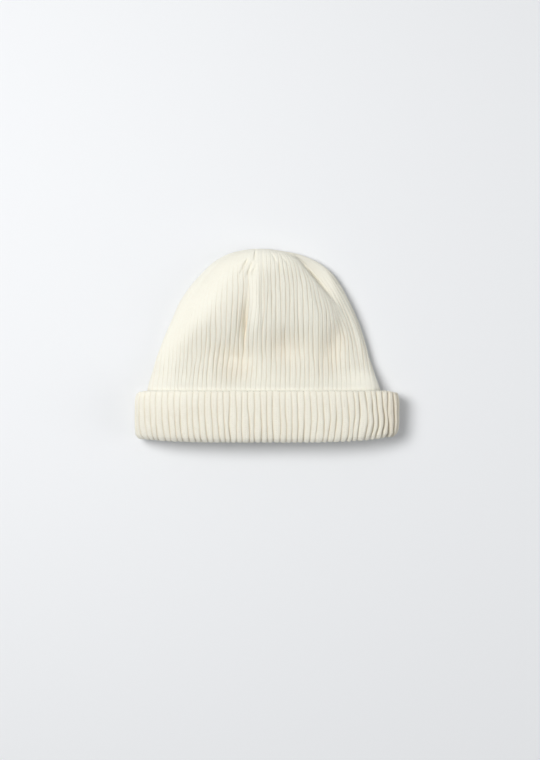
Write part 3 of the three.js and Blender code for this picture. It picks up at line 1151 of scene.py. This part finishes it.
@dataclass
class Cuff(Knitted):
    """The turned-up end of the tube: outer layer, fold and inner leg, as one band round the mouth.

    Its sections give the outline of the outer face, as the crown's do. Its fold gives the band cut across:
    y, and the depth under the outer face, from the cast-off edge down and round to the leg that meets the
    crown's hem, and back up inside the turned-up layer.

    A hill has its amount, and its middle and reach in shares of the way round. A step of the furrows' depth
    has its place in the fold, its length and its amount.
    """

    name: str = "cuff_knit"
    node: str = "cuff"
    furrow: float = 1.62
    row_step: float = 0.9
    hidden_step: float = 3.0
    fine_places: int = 400
    beside: float = 0.05  # from a place to a place close by
    back_lip: float = 0.4
    lip_middle: float = -24.0
    lip_reach: float = 52.0
    lip_top: float = 17.0
    lip_height: float = 10.0
    lip_from: float = -60.0
    lip_run: float = 20.0
    scallop: float = 0.9
    edge_shift: float = 0.35
    edge_waves: tuple[tuple[float, float], ...] = ((29.0, 0.0), (17.0, 1.0))
    corner_drop: float = 3.0
    corner_reach: float = 15.0
    furrow_hills: tuple[tuple[float, float, float], ...] = ((1.7, 0.22, 0.045), (-0.2, -0.2, 0.07))
    # Shade painted on the cuff's right end: its amount, middle and reach round
    end_shade_hill: tuple[float, float, float] = (1.15, 0.24, 0.03)
    left_lean: tuple[float, float, float] = (1.6, -0.15, 0.1)
    right_bulge: tuple[float, float, float] = (0.9, 0.12, 0.1)
    least_relief: float = 0.1
    edge_steps: tuple[tuple[float, float, float], ...] = ((0.0, 1.3, 0.5), (1.0, 1.8, 0.4))
    fold_step: tuple[float, float, float] = (3.0, 1.5, 0.3)
    leg_step: tuple[float, float, float] = (6.0, 2.0, -0.45)
    sections: Table = Table(
        ("y", "left", "right", "high", "edge", "under", "round", "belly"),
        (
            (-34, -112.2, 112.6, 38.2, 16.0, 0, 3.0, 3.0),
            (-46, -113.6, 113.9, 38.3, 17.0, 0, 3.1, 3.0),
            (-59, -HALF_WIDTH, HALF_WIDTH, 38.4, 17.0, 0, 3.1, 3.0),
            (-70, -114.0, 113.8, 38.7, 16.4, 0, 3.1, 3.0),
            (-79, -113.8, 113.0, 37.6, 15.2, 0, 3.0, 3.0),
            (-88, -113.2, 111.6, 34.4, 13.8, 0, 2.8, 3.0),
        ),
    )
    fold: Table = Table(
        ("y", "inset"),
        (
            (CUFF_TOP, 1.3),
            (CUFF_TOP - 2.2, 0.0),
            (-58.0, 0.0),
            (-76.5, 0.1),
            (-81.4, 1.6),
            (FOLD, 4.7),
            (-81.2, 8.8),
            (-76.0, 10.5),
            (HEM - HEM_GAP, 10.3),
            (HEM - HEM_GAP, 7.0),
            (-76.4, 6.8),
            (-79.4, 5.4),
            (-76.4, CUFF_WALL),
            (-58.0, CUFF_WALL),
            (CUFF_TOP - 1.6, CUFF_WALL),
            (CUFF_TOP, 2.9),
        ),
    )
    leg_end: int = 8
    edge_start: int = 14

    def ring(self, place: float, gauge: Gauge, row: float) -> Ring:
        """A ring of the cuff at a place of its fold.

        Args:
            place: The place in the fold's table, which is closed.
            gauge: Its columns to a rib.
            row: The row of stitches that it lies on.

        Returns:
            The ring.
        """
        here = self.fold.at(place, closed=True)
        before = self.fold.at(place - self.beside, closed=True)
        after = self.fold.at(place + self.beside, closed=True)
        run = np.array([after["y"] - before["y"], after["inset"] - before["inset"]])
        run = run / max(np.linalg.norm(run), TINY)
        level = here["y"]
        oval = Oval(self.sections.at(self.sections.place_of(level)))
        phase = np.array(gauge.value)
        rib = (np.arange(RIBS)[:, None] + phase[None, :]).ravel()
        share = rib / RIBS + self.slant(rib / RIBS, level) / oval.around
        x, z = oval.along(0.0, share)
        ax, az = oval.along(0.0, share - BESIDE)
        bx, bz = oval.along(0.0, share + BESIDE)
        across = unit(np.stack([bx - ax, np.zeros_like(x), bz - az], axis=1))
        side = np.stack([-across[:, 2], np.zeros_like(x), across[:, 0]], axis=1)
        x = x - here["inset"] * side[:, 0]
        z = z - here["inset"] * side[:, 2]
        last = len(self.fold.rows)
        y = level + bow(x, level) - self.lip(x, z, level) - self.corner(x, level)
        y = y + self.uneven_edge(rib, smooth(1.0 - min(place, last - place)))
        out = side * -run[0] + np.array([0.0, -run[1], 0.0])
        turn = half_turns(share)
        relief = np.zeros_like(share)
        if place <= self.leg_end or place > last - 1:
            deeper = 1.0
            for amount, middle, reach in self.furrow_hills:
                deeper = deeper + amount * hill(turn, middle, reach)
            relief = deeper * self.relief(place)
        # Painted shade on the cuff's right end
        amount, middle, reach = self.end_shade_hill
        dent_shade = amount * hill(turn, middle, reach)
        return Ring(rib, row, np.stack([x, y, z], axis=1), unit(out), across, np.ones(len(rib)), relief, dent_shade)

    def uneven_edge(self, rib: np.ndarray, near: float) -> np.ndarray:
        """How far the cast-off edge is shifted towards the top, rib by rib.

        Args:
            rib: The points' rib numbers.
            near: How near the ring is to the edge, from 0 to 1.

        Returns:
            The shift at each point.
        """
        round_way = 2 * np.pi * rib / RIBS
        waves = sum(np.sin(turns * round_way + start) for turns, start in self.edge_waves)
        return self.edge_shift * near * waves - self.scallop * near * np.cos(np.pi * rib) ** 2

    def relief(self, place: float) -> float:
        """How deep the furrows are: shallower at the cast-off edge and on the leg.

        Args:
            place: The place in the fold's table.

        Returns:
            A share of their full depth.
        """
        if place > self.leg_end:
            return self.least_relief

        def step(start: float, length: float, amount: float) -> float:
            """A smooth step of the depth."""
            return amount * float(smooth((place - start) / length))

        edge = self.least_relief
        for sizes in self.edge_steps:
            edge = edge + step(*sizes)
        return edge * (1.0 + step(*self.fold_step)) * (1.0 + step(*self.leg_step))

    def slant(self, share: np.ndarray, y: float) -> np.ndarray:
        """How far the ribs of the front have shifted towards +X.

        Args:
            share: Shares of the way round.
            y: The height along the hat.

        Returns:
            The shift at each share.
        """
        down = smooth((CUFF_TOP - y) / (CUFF_TOP + HALF_LENGTH))
        turn = half_turns(share)
        lean, left, left_reach = self.left_lean
        bulge, right, right_reach = self.right_bulge
        shift = lean * down * hill(turn, left, left_reach)
        return shift + bulge * np.sin(np.pi * down) * hill(turn, right, right_reach)

    def lip(self, x: np.ndarray, z: np.ndarray, y: float) -> np.ndarray:
        """How far the back of the fold lies beyond the front of it.

        Args:
            x: The points' x.
            z: Their height.
            y: The ring's y.

        Returns:
            The distance at each point.
        """
        low = smooth((self.lip_top - z) / self.lip_height)
        down = smooth((self.lip_from - y) / self.lip_run)
        return self.back_lip * low * down * hill(x, self.lip_middle, self.lip_reach)

    def corner(self, x: np.ndarray, y: float) -> np.ndarray:
        """How far the cast-off edge drops at the ends of the cuff.

        Args:
            x: The points' x.
            y: The ring's y.

        Returns:
            The drop at each point.
        """
        near_end = np.clip((np.abs(x) - HALF_WIDTH) / self.corner_reach + 1.0, 0.0, 1.0)
        upper = smooth((y - CUFF_TOP) / self.corner_reach + 1.0)
        return self.corner_drop * upper * near_end**2

    def spaced(self, low: float, high: float, step: float) -> list[float]:
        """Picks places of the fold that lie about a step apart.

        Args:
            low: The first place.
            high: The last place.
            step: The distance wanted.

        Returns:
            The places.
        """
        fine = np.linspace(low, high, self.fine_places)
        line = np.array([list(self.fold.at(place, closed=True).values()) for place in fine])
        return evenly(fine, np.linalg.norm(np.diff(line, axis=0), axis=1), step)

    def shell(self) -> Shell:
        """Builds the whole cuff, closed on itself.

        Returns:
            The shell.
        """
        shell = Shell(self.name)
        row = self.row_step / ROW_HEIGHT
        for i, place in enumerate(self.spaced(0.0, self.leg_end, self.row_step)):
            shell.rings.append(self.ring(place, Gauge.FINE, i * row))
        for place in self.spaced(self.leg_end, self.edge_start, self.hidden_step)[1:]:
            shell.rings.append(self.ring(place, Gauge.HIDDEN, 0.0))
        rim = self.spaced(self.edge_start, len(self.fold.rows), self.row_step)[1:]
        for i, place in enumerate(rim):
            shell.rings.append(self.ring(place, Gauge.FINE, (i + 1 - len(rim)) * row))
        return shell

    def ribbing(self) -> dict[str, float]:
        """Gives the rib tree's values for the cuff."""
        return {
            "Furrow Depth": self.furrow * MM,
            "Rib Fullness": 0.48,
            "Wander": 0.55 * MM,
            "Lean": 1.3 * MM,
            "Unevenness": 0.35 * MM,
            "Furrow Variety": 1.7,
            "Furrow Shift": 2.8 * MM,
            "Seed": 9.0,
        }


@dataclass
class Studio:
    """The plain pale floor, the soft light from the upper left and the camera straight above."""

    camera_height: float = 2.4
    sharp_level: float = 0.02
    frame_height: float = PHOTO_HEIGHT * PIXEL * MM
    frame_middle: tuple[float, float] = (2.6 * MM, -29.2 * MM)
    sensor: float = 36.0
    clip: float = 50.0
    floor_size: float = 12.0
    floor_drop: float = 0.2 * MM
    floor_colour: tuple[float, float, float] = (0.832, 0.848, 0.875)
    floor_roughness: float = 0.95
    floor_specular: float = 0.1
    key_direction: tuple[float, float, float] = (-0.45, 0.2, 0.87)
    key_distance: float = 0.95
    key_size: float = 0.45
    key_power: float = 2.3
    top_place: tuple[float, float, float] = (-1.2, 0.55, 2.7)
    top_size: float = 1.5
    top_power: float = 47.5
    fill_place: tuple[float, float, float] = (1.3, -0.2, 0.8)
    fill_size: float = 1.0
    fill_power: float = 4.3
    lamp_colour: tuple[float, float, float] = (1.0, 0.99, 0.97)
    sky_colour: tuple[float, float, float] = (0.97, 0.985, 1.0)
    sky_strength: float = 0.29

    def floor(self) -> bpy.types.Object:
        """Builds the floor.

        Returns:
            The floor's object.
        """
        half = self.floor_size / 2
        mesh = bpy.data.meshes.new("floor")
        corners = [(-half, -half), (half, -half), (half, half), (-half, half)]
        mesh.from_pydata([(x, y, -self.floor_drop) for x, y in corners], [], [(0, 1, 2, 3)])
        made = bpy.data.objects.new("floor", mesh)
        bpy.context.scene.collection.objects.link(made)
        paper = bpy.data.materials.new("pale paper")
        paper.use_nodes = True
        shader = paper.node_tree.nodes["Principled BSDF"]
        shader.inputs["Base Color"].default_value = (*self.floor_colour, 1.0)
        shader.inputs["Roughness"].default_value = self.floor_roughness
        shader.inputs["Specular IOR Level"].default_value = self.floor_specular
        mesh.materials.append(paper)
        return made

    def lamp(self, name: str, place: Vector, size: float, power: float) -> None:
        """Adds a round soft light that faces the middle of the floor.

        Args:
            name: Its name.
            place: Its place.
            size: Its diameter.
            power: Its power in watts.
        """
        lamp = bpy.data.lights.new(name, "AREA")
        lamp.shape = "DISK"
        lamp.size = size
        lamp.energy = power
        lamp.color = self.lamp_colour
        made = bpy.data.objects.new(name, lamp)
        made.location = place
        made.rotation_euler = place.to_track_quat("Z", "Y").to_euler()
        bpy.context.scene.collection.objects.link(made)

    def light(self) -> None:
        """Sets the key light, the soft box, the fill on the right and the light of the room."""
        way = Vector(self.key_direction).normalized()
        self.lamp("key", way * self.key_distance, self.key_size, self.key_power)
        self.lamp("soft box", Vector(self.top_place), self.top_size, self.top_power)
        self.lamp("fill", Vector(self.fill_place), self.fill_size, self.fill_power)
        room = bpy.data.worlds.new("room")
        room.use_nodes = True
        sky = room.node_tree.nodes["Background"]
        sky.inputs["Color"].default_value = (*self.sky_colour, 1.0)
        sky.inputs["Strength"].default_value = self.sky_strength
        bpy.context.scene.world = room

    def camera(self) -> None:
        """Sets the camera that looks straight down, with the photograph's frame."""
        eye = bpy.data.cameras.new("camera")
        eye.sensor_fit = "VERTICAL"
        eye.sensor_height = self.sensor
        eye.lens = self.sensor * (self.camera_height - self.sharp_level) / self.frame_height
        eye.clip_end = self.clip
        made = bpy.data.objects.new("camera", eye)
        made.location = (*self.frame_middle, self.camera_height)
        bpy.context.scene.collection.objects.link(made)
        bpy.context.scene.camera = made


def main() -> None:
    """Builds the hat piece by piece, then the studio."""
    logging.basicConfig(level=logging.INFO, format="%(name)s: %(message)s")
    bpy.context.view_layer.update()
    studio = Studio()
    studio.floor()
    studio.light()
    studio.camera()
    bpy.context.scene.view_settings.view_transform = "Standard"
    Stitch().group()
    Cotton().group()
    ribs = rib_tree()
    crown = Crown().dress(ribs, CROWN_YARN)
    log.info("%s: %d faces", crown.name, len(crown.data.polygons))
    cuff = Cuff().dress(ribs, CUFF_YARN)
    log.info("%s: %d faces", cuff.name, len(cuff.data.polygons))


if __name__ == "__main__":
    main()
